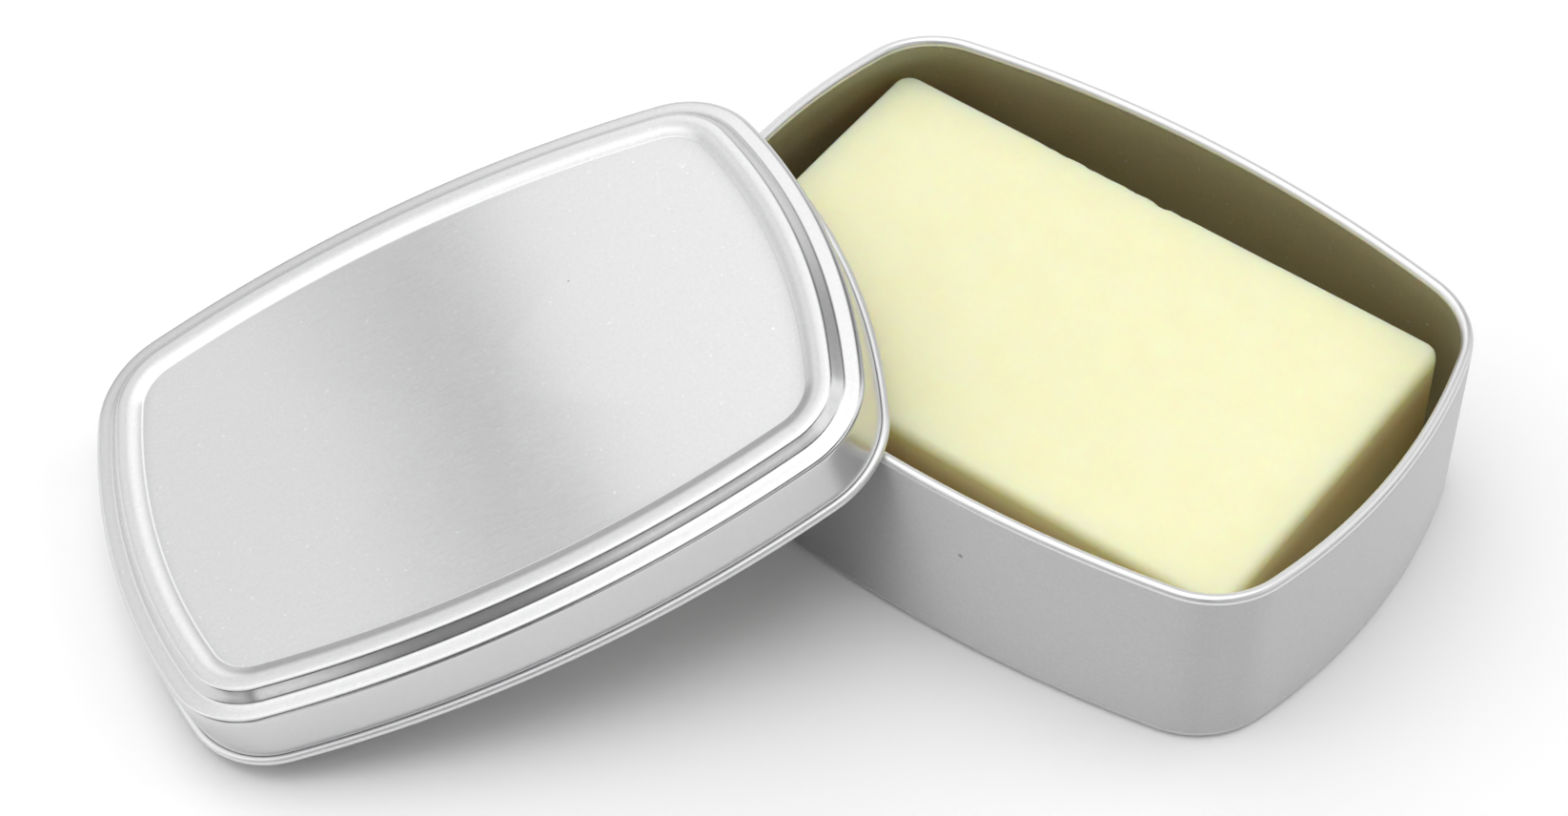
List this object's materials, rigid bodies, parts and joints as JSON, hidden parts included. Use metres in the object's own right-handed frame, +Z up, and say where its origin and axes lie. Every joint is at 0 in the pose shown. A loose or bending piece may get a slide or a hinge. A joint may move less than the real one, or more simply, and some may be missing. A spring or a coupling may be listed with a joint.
{
  "type": "soap tin",
  "caption": "Drawn aluminium soap tin, opened: a bowed rectangular tray holding a bar of soap, with its stepped lid leaning on the tray's rim.",
  "frame": {"origin": "On the ground, under the middle of the tray's flat base.", "axes": "X runs along the tray, away from the end where the lid lies. Y runs across the tray, away from the lid. Z is up."},
  "size_m": [0.1451, 0.138, 0.0387],
  "materials": {
    "satin_aluminium": "satin, bare drawn sheet with a fine grain",
    "cream_soap": "smooth waxy soap, cream yellow"
  },
  "bodies": {
    "tray": {"tray": "satin_aluminium"},
    "soap_bar": {"soap_bar": "cream_soap"},
    "lid": {"lid": "satin_aluminium"}
  },
  "joints": [
    {"name": "bar_lift", "type": "slide", "parent": "tray", "child": "soap_bar", "axis": [0, 0, 1], "range_m": [0, 0.04]},
    {"name": "lid_lift", "type": "slide", "parent": "soap_bar", "child": "lid", "axis": [0, 0, 1], "range_m": [0, 0.05]}
  ]
}
